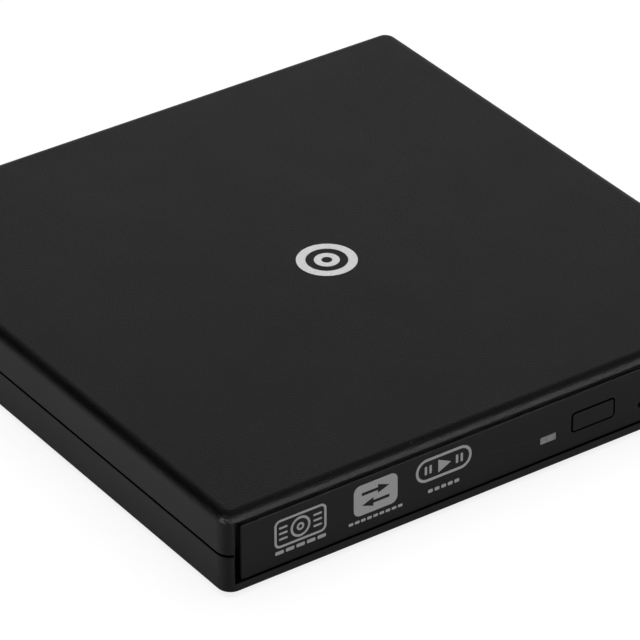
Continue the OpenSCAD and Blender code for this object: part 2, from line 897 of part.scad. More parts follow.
module traverse_frame() {
    block_h = 3.2;
    color("#2f3134") on_traverse() difference() {
        union() {
            translate([0, 0, traverse_z]) linear_extrude(traverse_t) polygon(traverse_outline);
            // Blocks that hold the guide rods and the lead screw's end
            for (side = [-1, 1]) {
                span([10, side * rod_v - 2, traverse_z], [13.4, side * rod_v + 2, traverse_z + block_h - 0.6]);
                span([60.6, side * rod_v - 2, traverse_z], [63, side * rod_v + 2, traverse_z + block_h - 0.6]);
            }
            span([57.6, screw_v - 2, traverse_z], [59.6, screw_v + 1.6, traverse_z + block_h]);
        }
        span([13.4, -17, 0], [60.6, 17.1, drive_top]);
        span([0.9, 17.1, 0], [57.6, 22.8, drive_top]);
        translate([0, 0, traverse_z - cut]) cylinder(r = 11.8, h = traverse_t + 2 * cut);
        for (side = [-1, 1])
            translate([0, side * rod_v, rod_z])
                rotate([0, 90, 0]) cylinder(r = rod_r + 0.02, h = rod_end + 0.1);
        translate([0, screw_v, screw_z])
            rotate([0, 90, 0]) cylinder(r = 0.65, h = 70);
        for (p = damper_places)
            translate([p.x, p.y, traverse_z - cut]) cylinder(r = 2, h = traverse_t + 2 * cut);
    }
}

module traverse_cover() {
    color("#b7b9bb") on_traverse() difference() {
        translate([0, 0, cover_z]) linear_extrude(cover_t) {
            polygon(traverse_outline);
            circle(hub_opening_r + 0.6);
        }
        translate([0, 0, cover_z - cut]) cylinder(r = 13.2, h = cover_t + 2 * cut);
        span([13, -5.6, 0], [61.4, 5.6, drive_top]);
        for (p = damper_places)
            translate([p.x, p.y, cover_z - cut]) cylinder(r = 2.6, h = cover_t + 2 * cut);
        span([0.9, screw_v - 1.5, 0], [13, screw_v + 2.8, drive_top]);
    }
    // Legs that stand on the frame
    color("#b7b9bb") on_traverse() for (p = [[-15.5, 0], [30, -19.8], [61.8, 6], [-6, 21]])
        translate([p.x, p.y, traverse_z + traverse_t])
            cylinder(r = 0.8, h = cover_z - traverse_z - traverse_t + running);
}

module rubber_dampers() {
    color("#3b3b3e") on_traverse() for (p = damper_places)
        translate([p.x, p.y, traverse_z - damper_flange]) difference() {
            union() {
                cylinder(r = damper_r, h = damper_flange);
                cylinder(r = damper_neck_r, h = traverse_t + 2 * damper_flange);
                translate([0, 0, damper_flange + traverse_t]) cylinder(r = damper_r, h = damper_flange);
            }
            translate([0, 0, -cut]) cylinder(r = 1.1, h = 6);
        }
}

module damper_screws() {
    color("#8d8d90") on_traverse() for (p = damper_places)
        translate([p.x, p.y, traverse_z - damper_flange - 0.45])
            cross_screw(0.8, 4, 1.9, 0.45);
}

module spindle_motor_base() {
    color("#c2c4c6") translate([0, disc_y, 0]) difference() {
        union() {
            translate([0, 0, traverse_z - 0.6]) cylinder(r = 13, h = 0.6);
            translate([0, 0, traverse_z - running]) cylinder(r = 2.8, h = 3);
        }
        translate([0, 0, traverse_z - 0.3]) cylinder(r = shaft_r + running, h = 6);
    }
}

module motor_stator() {
    slots = 12;
    color("#b5651d") translate([0, disc_y, traverse_z + 0.4]) difference() {
        cylinder(r = 9.6, h = 2.1);
        translate([0, 0, -cut]) cylinder(r = 2.9, h = 5);
        for (i = [0 : slots - 1]) rotate([0, 0, 360 / slots * i])
            translate([5.5, -0.5, -cut]) cube([6, 1, 5]);
    }
}

module motor_rotor() {
    color("#d0d2d4") translate([0, disc_y, 0]) difference() {
        translate([0, 0, traverse_z + 0.6]) cylinder(r = rotor_r, h = turntable_z - traverse_z - 0.6);
        translate([0, 0, traverse_z]) cylinder(r = rotor_r - 0.8, h = turntable_z - traverse_z - 0.6);
        translate([0, 0, traverse_z]) cylinder(r = shaft_r + 0.02, h = drive_h);
    }
}

module spindle_shaft() {
    color("#e2e2e4") translate([0, disc_y, traverse_z - 0.25])
        cylinder(r = shaft_r, h = disc_seat_z + 1.2 - traverse_z);
}

module turntable() {
    hub_top = disc_seat_z + 1.7;
    chamfer = 0.7;
    color("#202022") translate([0, disc_y, 0]) difference() {
        rotate_extrude($fn = 64) polygon([
            [shaft_r + 0.02, turntable_z],
            [turntable_r, turntable_z],
            [turntable_r, disc_seat_z - 0.5],
            [hub_r, disc_seat_z - 0.5],
            [hub_r, hub_top - chamfer],
            [hub_r - chamfer, hub_top],
            [shaft_r + 0.02, hub_top]
        ]);
        // Three springy claws, each freed by a slot on either side
        for (i = [0 : 2]) rotate([0, 0, 120 * i + 30])
            for (side = [-1, 1])
                translate([hub_r - 3, side * 1.8 - 0.2, disc_seat_z - 0.4]) cube([4, 0.4, 4]);
    }
}

module turntable_mat() {
    color("#303033") translate([0, disc_y, disc_seat_z - 0.5]) difference() {
        cylinder(r = turntable_r - 0.2, h = 0.5);
        translate([0, 0, -cut]) cylinder(r = 9.4, h = 3);
    }
}

module guide_rods() {
    color("#dfe0e2") on_traverse() for (side = [-1, 1])
        translate([rod_start, side * rod_v, rod_z])
            rotate([0, 90, 0]) cylinder(r = rod_r, h = rod_end - rod_start);
}

module lead_screw() {
    color("#cfd0d2") on_traverse() translate([screw_start, screw_v, screw_z]) rotate([0, 90, 0]) {
        translate([0, 0, 1]) cylinder(r = screw_r, h = screw_end - screw_start - 3.2);
        cylinder(r = 0.6, h = screw_end - screw_start);
    }
}

module sled_motor() {
    motor_r = 2.4;
    color("#9a9c9e") on_traverse() translate([1.4, screw_v, screw_z]) rotate([0, 90, 0])
        difference() {
            cylinder(r = motor_r, h = 11);
            translate([0, 0, 11 - 0.6]) cylinder(r = 0.7, h = 2);
        }
}

module pickup_body() {
    low = traverse_z - 0.6;
    high = low + 3.2;
    back = lens_start - pickup_back;
    front = lens_start + pickup_front;
    color("#8f9194") on_traverse() difference() {
        union() {
            span([back, -12, low], [front, 12.4, high]);
            span([back, 12.2, low], [front, rod_v + 2.2, high + 0.2]);
            span([back + 2, -rod_v - 2, low], [front - 2, -11.9, high]);
        }
        translate([0, rod_v, rod_z])
            rotate([0, 90, 0]) cylinder(r = rod_r + running, h = 70);
        span([0, -rod_v - 3, rod_z - rod_r - running], [70, -rod_v + 1.2, rod_z + rod_r + running]);
        // The hollow under the lens
        span([lens_start - 2.6, -4.2, high - 0.8], [lens_start + 2.6, 4.2, high + 1]);
    }
}

module pickup_cover() {
    low = traverse_z + 2.6;
    color("#222224") on_traverse() difference() {
        span([lens_start - pickup_back + 0.4, -11, low], [lens_start + pickup_front - 0.4, 11, low + 0.4]);
        span([lens_start - 2.6, -4.2, 0], [lens_start + 2.6, 4.2, drive_top]);
    }
}

module pickup_rack() {
    low = screw_z - 0.8;
    teeth = 5;
    pitch = 1.2;
    back = lens_start - 8;
    reach = screw_v - screw_r - gap;
    color("#efefea") on_traverse() difference() {
        span([back, rod_v + 2.2, low], [back + 7, reach, low + 1.6]);
        for (i = [0 : teeth - 1])
            span([back + 0.8 + pitch * i, reach - 0.4, 0], [back + 1.3 + pitch * i, reach + 1, drive_top]);
    }
}

module lens_holder() {
    low = traverse_z + 3.1;
    color("#1a1a1c") on_traverse() translate([lens_start, 0, 0]) difference() {
        span([-2.1, -3.6, low], [2.1, 3.6, low + 1.1]);
        translate([0, 0, low - cut]) cylinder(r = lens_r + 0.02, h = 5);
    }
}

module objective_lens() {
    low = traverse_z + 3.4;
    dome_r = 2.4;
    color("#9fc4e8") on_traverse() translate([lens_start, 0, 0]) intersection() {
        translate([0, 0, low]) cylinder(r = lens_r, h = 3);
        translate([0, 0, low - 0.7]) sphere(dome_r);
    }
}

top_cover();
bottom_cover();
rubber_feet();
case_screws();
top_emblem();
bridge_board();
bridge_chip();
sata_socket();
usb_shell();
usb_tongue();
board_screws();
chassis_pan();
chassis_lid();
chassis_screws();
left_guide();
right_guide();
main_board();
controller_chip();
driver_chip();
flex_socket();
sata_plug();
latch_post();
ejector_housing();
ejector_plunger();
ejector_spring();
left_rail();
right_rail();
tray();
bezel();
led_window();
eject_button();
button_board();
button_switch();
indicator_led();
tray_bottom_cover();
tray_flex();
latch_pivot();
latch_lever();
latch_spring();
solenoid();
solenoid_plunger();
traverse_frame();
traverse_cover();
rubber_dampers();
damper_screws();
spindle_motor_base();
motor_stator();
motor_rotor();
spindle_shaft();
turntable();
turntable_mat();
guide_rods();
lead_screw();
sled_motor();
pickup_body();
pickup_cover();
pickup_rack();
lens_holder();
objective_lens();
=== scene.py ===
"""Looks of a flat external optical drive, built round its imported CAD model. All lengths are in metres."""

import json
import math

import bmesh
import bpy
from mathutils import Matrix, Vector


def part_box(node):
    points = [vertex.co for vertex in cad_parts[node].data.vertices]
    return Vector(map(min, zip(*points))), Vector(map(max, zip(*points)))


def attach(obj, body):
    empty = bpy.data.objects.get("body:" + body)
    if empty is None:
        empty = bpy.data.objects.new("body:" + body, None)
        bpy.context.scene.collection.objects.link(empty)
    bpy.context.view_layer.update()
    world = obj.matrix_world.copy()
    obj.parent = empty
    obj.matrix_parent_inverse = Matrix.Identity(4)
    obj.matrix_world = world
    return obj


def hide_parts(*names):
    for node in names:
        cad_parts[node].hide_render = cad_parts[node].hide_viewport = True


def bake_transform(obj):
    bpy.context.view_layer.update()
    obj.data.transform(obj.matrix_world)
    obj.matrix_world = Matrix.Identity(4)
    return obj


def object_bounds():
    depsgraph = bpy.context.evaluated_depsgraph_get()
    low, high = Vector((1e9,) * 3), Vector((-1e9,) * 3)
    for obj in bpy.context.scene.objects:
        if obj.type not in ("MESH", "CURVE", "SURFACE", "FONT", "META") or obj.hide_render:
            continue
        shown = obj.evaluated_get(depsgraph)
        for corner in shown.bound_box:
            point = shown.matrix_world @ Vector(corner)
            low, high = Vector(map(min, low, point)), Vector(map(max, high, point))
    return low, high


MM = 0.001

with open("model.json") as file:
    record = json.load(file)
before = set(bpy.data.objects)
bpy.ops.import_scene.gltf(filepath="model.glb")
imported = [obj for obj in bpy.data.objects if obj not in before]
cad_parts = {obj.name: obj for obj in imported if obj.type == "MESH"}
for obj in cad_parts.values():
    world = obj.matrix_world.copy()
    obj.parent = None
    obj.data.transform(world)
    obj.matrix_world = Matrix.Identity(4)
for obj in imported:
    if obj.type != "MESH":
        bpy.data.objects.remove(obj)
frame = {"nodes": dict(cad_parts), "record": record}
cad_low, cad_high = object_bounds()


# ---------------------------------------------------------------- building materials

class Material:
    """One procedural material. Its methods add nodes and return sockets, so recipes read as expressions."""

    def __init__(self, name):
        self.made = bpy.data.materials.new(name)
        self.made.use_nodes = True
        self.tree = self.made.node_tree
        self.surface = self.tree.nodes["Principled BSDF"]
        self.place = self.add("ShaderNodeTexCoord").outputs["Object"]
        self.normal = None

    def add(self, kind, inputs=(), **settings):
        node = self.tree.nodes.new(kind)
        for name, value in settings.items():
            setattr(node, name, value)
        for name, value in dict(inputs).items():
            self.wire(node.inputs[name], value)
        return node

    def wire(self, socket, value):
        if isinstance(value, bpy.types.NodeSocket):
            self.tree.links.new(value, socket)
        else:
            socket.default_value = value

    def stretched(self, stretch):
        """Object coordinates, with features drawn out by each axis's factor."""
        shrink = [1 / s for s in stretch]
        return self.add("ShaderNodeMapping", {"Vector": self.place, "Scale": shrink}).outputs["Vector"]

    def noise(self, size, detail=2.0, stretch=(1, 1, 1)):
        """Smooth random values round 0.5, with features of the given size."""
        return self.add("ShaderNodeTexNoise", {
            "Vector": self.stretched(stretch), "Scale": 1 / size, "Detail": detail,
        }).outputs["Fac"]

    def cells(self, size, output="Distance", stretch=(1, 1, 1)):
        """Distance from the middle of random cells, or one random colour in each."""
        return self.add("ShaderNodeTexVoronoi", {
            "Vector": self.stretched(stretch), "Scale": 1 / size,
        }).outputs[output]

    def waves(self, size, direction, wobble=0.0):
        """Evenly spaced waves along X, Y, Z or DIAGONAL."""
        return self.add("ShaderNodeTexWave", {
            "Vector": self.place, "Scale": 0.05 * 2 * math.pi / size, "Distortion": wobble,
        }, wave_type="BANDS", bands_direction=direction).outputs["Fac"]

    def between(self, value, low, high, to_low=0.0, to_high=1.0):
        """Value stretched from low..high to to_low..to_high, and held at the ends."""
        return self.add("ShaderNodeMapRange", {
            "Value": value, "From Min": low, "From Max": high, "To Min": to_low, "To Max": to_high,
        }).outputs["Result"]

    def combine(self, kind, a, b):
        """Two values joined by ADD, SUBTRACT or MULTIPLY."""
        node = self.add("ShaderNodeMath", operation=kind)
        self.wire(node.inputs[0], a)
        self.wire(node.inputs[1], b)
        return node.outputs["Value"]

    def mix(self, factor, a, b):
        """Colour a where factor is 0 and colour b where it is 1."""
        node = self.add("ShaderNodeMix", data_type="RGBA")
        self.wire(node.inputs["Factor"], factor)
        self.wire(node.inputs[6], rgba(a))
        self.wire(node.inputs[7], rgba(b))
        return node.outputs[2]

    def edges(self, radius=0.3 * MM):
        """1 on sharp edges and 0 on flat faces."""
        flat = self.add("ShaderNodeNewGeometry").outputs["Normal"]
        rounded = self.add("ShaderNodeBevel", {"Radius": radius}, samples=4).outputs["Normal"]
        both = self.add("ShaderNodeVectorMath", {0: flat, 1: rounded}, operation="DOT_PRODUCT")
        still_flat, fully_round = 0.998, 0.86
        return self.between(both.outputs["Value"], still_flat, fully_round)

    def openness(self, reach=1.2 * MM):
        """0 deep in a gap and 1 in the open: the mask of the shade painted into the gaps between mouldings,
        so that they read as black.
        """
        seen = self.add("ShaderNodeAmbientOcclusion", {"Distance": reach}, samples=6).outputs["AO"]
        closed, clear = 0.25, 0.8
        return self.between(seen, closed, clear)

    def bump(self, height, depth, strength=1.0):
        """Adds relief of the given depth on top of the relief so far."""
        inputs = {"Height": height, "Distance": depth, "Strength": strength}
        if self.normal is not None:
            inputs["Normal"] = self.normal
        self.normal = self.add("ShaderNodeBump", inputs).outputs["Normal"]

    def finish(self, colour, roughness, **others):
        """Wires the surface's inputs, by name, and returns the material."""
        self.wire(self.surface.inputs["Base Color"], rgba(colour))
        self.wire(self.surface.inputs["Roughness"], roughness)
        for name, value in others.items():
            self.wire(self.surface.inputs[name.replace("_", " ")], value)
        if self.normal is not None:
            self.wire(self.surface.inputs["Normal"], self.normal)
        return self.made


def rgba(colour):
    """A grey level or an RGB triple as a colour with alpha; a socket stays as it is."""
    if isinstance(colour, bpy.types.NodeSocket):
        return colour
    if isinstance(colour, (int, float)):
        colour = (colour,) * 3
    return (*colour, 1.0)


def shade(colour, factor):
    return tuple(c * factor for c in colour)


# ---------------------------------------------------------------- materials of the record's slots

SPECK_SPACING = 2.6 * MM
SPECK_SIZE = (0.045, 0.02)
SPECK_CHOICE = (0.72, 0.74)
SPECK_COLOUR = (0.4, 0.4, 0.4)


def pale_specks(m, strength):
    """1 times strength in a dot in a few of the cells, and 0 elsewhere."""
    dot = m.between(m.cells(SPECK_SPACING), *SPECK_SIZE)
    chance = m.add("ShaderNodeSeparateColor", {"Color": m.cells(SPECK_SPACING, "Color")}).outputs["Red"]
    chosen = m.between(chance, *SPECK_CHOICE)
    return m.combine("MULTIPLY", dot, m.combine("MULTIPLY", chosen, strength))


def moulded_plastic(name, colour, grain, grain_depth, roughness, specks=0.0, paint_gap_shade=False, mirror=0.5):
    """Injection moulded plastic: fine eroded grain, slow colour drift, polished edges, rare pale specks,
    and where asked painted shade that blackens its gaps and dims their reflections.
    """
    m = Material(name)
    drift = m.between(m.noise(30 * MM, detail=3), 0.3, 0.7)
    edge = m.edges(0.25 * MM)
    body = m.mix(drift, shade(colour, 0.88), shade(colour, 1.14))
    body = m.mix(m.combine("MULTIPLY", edge, 0.35), body, shade(colour, 2.2))
    if specks:
        body = m.mix(pale_specks(m, specks), body, SPECK_COLOUR)
    m.bump(m.noise(grain, detail=2), grain_depth)
    m.bump(m.cells(grain * 0.6), grain_depth * 0.35)
    worn = m.between(m.noise(12 * MM, detail=4), 0.3, 0.7, roughness - 0.035, roughness + 0.035)
    gloss = m.combine("SUBTRACT", worn, m.combine("MULTIPLY", edge, 0.08))
    if not paint_gap_shade:
        return m.finish(body, gloss, IOR=1.48)
    # Painted shade: deep in a gap the colour falls to a tenth, and the mirror level falls with it.
    unshaded = m.openness()
    body = m.mix(unshaded, shade(colour, 0.1), body)
    return m.finish(body, gloss, IOR=1.48, Specular_IOR_Level=m.combine("MULTIPLY", unshaded, mirror))


def sheet_metal(name, colour, roughness, grain_axis=(1, 30, 1)):
    """Rolled and plated sheet: long rolling lines, clouded plating, bright sheared edges."""
    m = Material(name)
    lines = m.noise(0.12 * MM, detail=2, stretch=grain_axis)
    cloud = m.between(m.noise(9 * MM, detail=4), 0.3, 0.7)
    edge = m.edges(0.2 * MM)
    body = m.mix(cloud, shade(colour, 0.84), colour)
    body = m.mix(m.between(lines, 0.35, 0.65, 0.0, 0.3), body, shade(colour, 0.7))
    body = m.mix(m.combine("MULTIPLY", edge, 0.6), body, shade(colour, 1.35))
    m.bump(lines, 0.006 * MM)
    m.bump(m.noise(4 * MM, detail=2), 0.02 * MM)
    gloss = m.between(m.combine("ADD", lines, cloud), 0.5, 1.5, roughness - 0.06, roughness + 0.1)
    return m.finish(body, gloss, Metallic=0.7)


def turned_metal(name, colour, roughness):
    """Ground or turned steel: very fine round-and-round lines and a trace of oil."""
    m = Material(name)
    lines = m.noise(0.05 * MM, detail=2, stretch=(6, 6, 1))
    oil = m.between(m.noise(3 * MM, detail=3), 0.35, 0.65)
    body = m.mix(oil, shade(colour, 0.8), colour)
    m.bump(lines, 0.003 * MM)
    return m.finish(body, m.between(oil, 0, 1, roughness, roughness + 0.12), Metallic=1.0)


def plated_screw(name, colour):
    """Zinc plated screw: mottled plating, paler on its edges."""
    m = Material(name)
    mottle = m.between(m.noise(0.5 * MM, detail=3), 0.3, 0.7)
    body = m.mix(mottle, shade(colour, 0.6), shade(colour, 1.15))
    body = m.mix(m.combine("MULTIPLY", m.edges(0.12 * MM), 0.5), body, shade(colour, 1.7))
    m.bump(mottle, 0.01 * MM)
    return m.finish(body, m.between(mottle, 0, 1, 0.28, 0.42), Metallic=0.8)


def soft_rubber(name, colour):
    """Moulded rubber: matt, dusty, slightly greyer on its edges."""
    m = Material(name)
    dust = m.between(m.noise(3 * MM, detail=5), 0.45, 0.75)
    body = m.mix(m.combine("MULTIPLY", dust, 0.6), colour, shade(colour, 2.2))
    body = m.mix(m.combine("MULTIPLY", m.edges(0.3 * MM), 0.4), body, shade(colour, 2.6))
    m.bump(m.noise(0.25 * MM, detail=3), 0.02 * MM)
    return m.finish(body, m.between(dust, 0, 1, 0.62, 0.8), IOR=1.5)


def circuit_board(name, mask):
    """Printed board: solder resist over faint copper tracks, with a weave under it and tinned dots."""
    m = Material(name)
    tracks = m.between(m.waves(1.3 * MM, "X", wobble=3.0), 0.62, 0.7)
    fields = m.between(m.noise(7 * MM, detail=1), 0.48, 0.52)
    copper = m.combine("MULTIPLY", tracks, fields)
    weave = m.combine("MULTIPLY", m.waves(0.5 * MM, "X"), m.waves(0.5 * MM, "Y"))
    body = m.mix(copper, mask, shade(mask, 1.9))
    body = m.mix(m.combine("MULTIPLY", weave, 0.15), body, shade(mask, 0.5))
    dots = m.between(m.cells(2.4 * MM), 0.13, 0.1)
    body = m.mix(dots, body, (0.6, 0.58, 0.5))
    m.bump(copper, 0.02 * MM)
    return m.finish(body, m.between(dots, 0, 1, 0.3, 0.22), Metallic=m.combine("MULTIPLY", dots, 0.8))


def moulded_chip(name, colour):
    """Epoxy package: sandy matt black with paler ground edges."""
    m = Material(name)
    sand = m.noise(0.12 * MM, detail=3)
    body = m.mix(m.between(sand, 0.3, 0.7), shade(colour, 0.8), shade(colour, 1.3))
    body = m.mix(m.combine("MULTIPLY", m.edges(0.15 * MM), 0.5), body, shade(colour, 3))
    m.bump(sand, 0.01 * MM)
    return m.finish(body, m.between(sand, 0.3, 0.7, 0.45, 0.6))


def wound_copper(name, colour):
    """Enamelled winding: fine parallel turns, with painted shade in the gaps between them."""
    m = Material(name)
    turns = m.waves(0.22 * MM, "Z", wobble=0.6)
    # Painted shade: between the turns the colour falls to a quarter.
    body = m.mix(turns, shade(colour, 0.25), colour)
    m.bump(turns, 0.06 * MM)
    return m.finish(body, m.between(m.noise(1 * MM), 0.3, 0.7, 0.25, 0.38), Metallic=0.85)


def polyimide(name, colour):
    """Flat cable: amber film over narrow copper lines."""
    m = Material(name)
    lines = m.between(m.waves(1.0 * MM, "X"), 0.35, 0.55)
    body = m.mix(lines, colour, (0.42, 0.17, 0.05))
    body = m.mix(m.between(m.noise(8 * MM, detail=3), 0.35, 0.7, 0, 0.3), body, shade(colour, 0.5))
    m.bump(lines, 0.02 * MM)
    return m.finish(body, m.between(m.noise(2 * MM), 0.3, 0.7, 0.24, 0.34), Coat_Weight=0.3)


def cast_metal(name, colour):
    """Die cast alloy: fine orange-peel skin with a few dull flow marks."""
    m = Material(name)
    skin = m.noise(0.3 * MM, detail=4)
    flow = m.between(m.noise(5 * MM, detail=3, stretch=(1, 3, 1)), 0.4, 0.6)
    body = m.mix(flow, shade(colour, 0.75), colour)
    body = m.mix(m.combine("MULTIPLY", m.edges(0.2 * MM), 0.6), body, shade(colour, 1.6))
    m.bump(skin, 0.02 * MM)
    return m.finish(body, m.between(skin, 0.3, 0.7, 0.34, 0.5), Metallic=0.75)


def coated_lens(name):
    """Moulded lens with a blue coating that deepens towards its rim."""
    m = Material(name)
    facing = m.add("ShaderNodeLayerWeight", {"Blend": 0.4}).outputs["Facing"]
    sheen = m.mix(facing, (0.10, 0.17, 0.42), (0.42, 0.2, 0.62))
    body = m.mix(m.between(m.noise(0.8 * MM), 0.3, 0.7, 0, 0.25), sheen, (0.16, 0.3, 0.5))
    return m.finish(body, 0.05, Transmission_Weight=0.35, Coat_Weight=1.0, IOR=1.5)


def milky_window(name, colour):
    """Milky light guide, unlit, with a faint haze that drifts at random."""
    m = Material(name)
    haze = m.between(m.noise(1.2 * MM, detail=3), 0.3, 0.7)
    body = m.mix(haze, shade(colour, 0.9), shade(colour, 1.12))
    body = m.mix(m.combine("MULTIPLY", m.edges(0.2 * MM), 0.5), body, shade(colour, 1.5))
    m.bump(m.noise(0.3 * MM), 0.006 * MM)
    return m.finish(body, m.between(haze, 0, 1, 0.24, 0.34), Subsurface_Weight=0.15,
                    Subsurface_Radius=(MM, MM, MM), Subsurface_Scale=0.5)


def print_layer(name, level):
    """Screen print: a dry, slightly uneven film of grey ink."""
    m = Material(name)
    ink = m.between(m.noise(0.35 * MM, detail=4), 0.3, 0.7)
    body = m.mix(ink, level * 0.88, level * 1.06)
    m.bump(m.noise(0.15 * MM, detail=2), 0.006 * MM)
    return m.finish(body, m.between(ink, 0, 1, 0.5, 0.62))


BLACK = (0.0028, 0.0028, 0.003)
finishes = {
    "shell_plastic": moulded_plastic(
        "shell_plastic", BLACK, grain=0.3 * MM, grain_depth=0.085 * MM, roughness=0.32,
        specks=0.5, paint_gap_shade=True),
    "bezel_plastic": moulded_plastic(
        "bezel_plastic", BLACK, grain=0.3 * MM, grain_depth=0.07 * MM, roughness=0.36,
        paint_gap_shade=True, mirror=0.4),
    "tray_plastic": moulded_plastic(
        "tray_plastic", shade(BLACK, 8), grain=0.35 * MM, grain_depth=0.03 * MM, roughness=0.4),
    "button_plastic": moulded_plastic(
        "button_plastic", BLACK, grain=0.3 * MM, grain_depth=0.05 * MM, roughness=0.34,
        paint_gap_shade=True, mirror=0.4),
    "black_nylon": moulded_plastic(
        "black_nylon", shade(BLACK, 11), grain=0.3 * MM, grain_depth=0.012 * MM, roughness=0.44),
    "white_nylon": moulded_plastic(
        "white_nylon", (0.66, 0.65, 0.58), grain=0.4 * MM, grain_depth=0.008 * MM, roughness=0.36),
    "mark_print": print_layer("mark_print", 0.78),
    "rubber": soft_rubber("rubber", (0.012, 0.012, 0.012)),
    "screw_steel": plated_screw("screw_steel", (0.36, 0.36, 0.37)),
    "sheet_steel": sheet_metal("sheet_steel", (0.56, 0.57, 0.58), 0.34),
    "rail_steel": sheet_metal("rail_steel", (0.6, 0.61, 0.62), 0.26),
    "board": circuit_board("board", (0.012, 0.075, 0.03)),
    "board_blue": circuit_board("board_blue", (0.01, 0.045, 0.11)),
    "chip": moulded_chip("chip", (0.014, 0.014, 0.015)),
    "bright_steel": turned_metal("bright_steel", (0.72, 0.72, 0.73), 0.16),
    "copper": wound_copper("copper", (0.62, 0.26, 0.1)),
    "flex_film": polyimide("flex_film", (0.5, 0.24, 0.04)),
    "die_cast": cast_metal("die_cast", (0.5, 0.51, 0.52)),
    "lens_glass": coated_lens("lens_glass"),
    "window": milky_window("window", (0.47, 0.47, 0.46)),
    "led_body": milky_window("led_body", (0.75, 0.75, 0.7)),
}
front_ink = print_layer("front_ink", 0.70)


def paint(thing, slot, finish=None):
    """Gives an object one material and says which slot of the record it belongs to."""
    thing.data.materials.clear()
    thing.data.materials.append(finish or finishes[slot])
    return thing


# ---------------------------------------------------------------- carried-over CAD nodes

slot_of = {row["node"]: row["material_slot"] for row in frame["record"]["subparts"]}

# How far each node's sharp edges are broken, in millimetres
EDGE_BREAK = {
    "bezel": 0.15,
    "eject_button": 0.12,
    "tray": 0.16,
    "led_window": 0.06,
    "tray_bottom_cover": 0.08,
    "traverse_cover": 0.08,
    "traverse_frame": 0.1,
    "chassis_pan": 0.1,
    "chassis_lid": 0.1,
    "pickup_body": 0.15,
    "pickup_cover": 0.08,
    "left_rail": 0.15,
    "right_rail": 0.15,
    "left_guide": 0.12,
    "right_guide": 0.12,
    "controller_chip": 0.08,
    "driver_chip": 0.08,
    "bridge_chip": 0.08,
    "sata_plug": 0.1,
    "sata_socket": 0.1,
    "flex_socket": 0.1,
    "latch_lever": 0.08,
    "button_switch": 0.08,
}


def break_edges(thing, width):
    """Narrow rounded edges, so that they catch the light as moulded or sheared edges do."""
    weld = thing.modifiers.new("weld", "WELD")
    weld.merge_threshold = 0.001 * MM
    bevel = thing.modifiers.new("edge_break", "BEVEL")
    bevel.width = width
    bevel.segments = 2
    bevel.limit_method = "ANGLE"
    bevel.angle_limit = math.radians(38)
    bevel.harden_normals = True


for node, thing in frame["nodes"].items():
    paint(thing, slot_of[node])
    if node in EDGE_BREAK:
        break_edges(thing, EDGE_BREAK[node] * MM)


# ---------------------------------------------------------------- building new pieces

def add_piece(name, mesh, body, slot, finish=None):
    thing = bpy.data.objects.new(name, mesh)
    bpy.context.scene.collection.objects.link(thing)
    paint(thing, slot, finish)
    if body:
        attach(thing, body)
    return thing


def rounded_rectangle(x, z, wide, high, r, steps=6):
    """Corner-rounded outline round (x, z), counter-clockwise."""
    points = []
    for quarter, (sx, sz) in enumerate([(1, 1), (-1, 1), (-1, -1), (1, -1)]):
        for k in range(steps + 1):
            a = math.pi / 2 * (quarter + k / steps)
            corner_x, corner_z = x + sx * (wide / 2 - r), z + sz * (high / 2 - r)
            points.append((corner_x + r * math.cos(a), corner_z + r * math.sin(a)))
    return points


def round_outline(x, z, r, steps=40):
    turn = 2 * math.pi / steps
    return [(x + r * math.cos(turn * k), z + r * math.sin(turn * k)) for k in range(steps)]


def flat_sign(name, outlines, front, thickness, body, slot, finish):
    """A thin plate standing in the XZ plane; an outline inside another cuts a hole in it."""
    curve = bpy.data.curves.new(name, "CURVE")
    curve.dimensions = "2D"
    curve.fill_mode = "BOTH"
    curve.extrude = thickness / 2
    for outline in outlines:
        spline = curve.splines.new("POLY")
        spline.points.add(len(outline) - 1)
        spline.use_cyclic_u = True
        for point, (x, z) in zip(spline.points, outline):
            point.co = (x, z, 0, 1)
    drawn = bpy.data.objects.new(name + "_drawn", curve)
    bpy.context.scene.collection.objects.link(drawn)
    bpy.context.view_layer.update()
    mesh = bpy.data.meshes.new_from_object(drawn.evaluated_get(bpy.context.evaluated_depsgraph_get()))
    bpy.data.objects.remove(drawn)
    bpy.data.curves.remove(curve)
    upright = Matrix.Translation((0, front + thickness / 2, 0)) @ Matrix.Rotation(math.radians(90), 4, "X")
    mesh.transform(upright)
    return add_piece(name, mesh, body, slot, finish)


def swept_tube(points, radius, sides=10):
    """A closed tube of the given radius along a path of points."""
    bm = bmesh.new()
    rings = []
    side = None
    for k, point in enumerate(points):
        ahead = (points[min(k + 1, len(points) - 1)] - points[max(k - 1, 0)]).normalized()
        if side is None:
            side = ahead.orthogonal().normalized()
        side = (side - ahead * side.dot(ahead)).normalized()
        up = ahead.cross(side)
        turn = 2 * math.pi / sides
        rings.append([
            bm.verts.new(point + radius * (side * math.cos(turn * j) + up * math.sin(turn * j)))
            for j in range(sides)
        ])
    for low, high in zip(rings, rings[1:]):
        for j in range(sides):
            n = (j + 1) % sides
            bm.faces.new((low[j], low[n], high[n], high[j]))
    bm.faces.new(list(reversed(rings[0])))
    bm.faces.new(rings[-1])
    mesh = bpy.data.meshes.new("tube")
    bm.to_mesh(mesh)
    bm.free()
    for face in mesh.polygons:
        face.use_smooth = len(face.vertices) == 4
    return mesh


# ---------------------------------------------------------------- signs printed on the front

INK = 0.03 * MM
ink_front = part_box("bezel")[0].y - INK
front_left = cad_low.x
shell_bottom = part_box("bottom_cover")[0].z


def front_place(from_left, from_bottom):
    """A place on the front, measured in millimetres from the shell's lower left corner."""
    return front_left + from_left * MM, shell_bottom + from_bottom * MM


def front_sign(name, outlines):
    return flat_sign(name, outlines, ink_front, INK, "tray", "mark_print", front_ink)


def dashes(middle, count, step, wide, high, r):
    """A row of short bars round a middle point."""
    x, z = middle
    first = -(count - 1) / 2
    return [rounded_rectangle(x + (first + k) * step, z, wide, high, r) for k in range(count)]


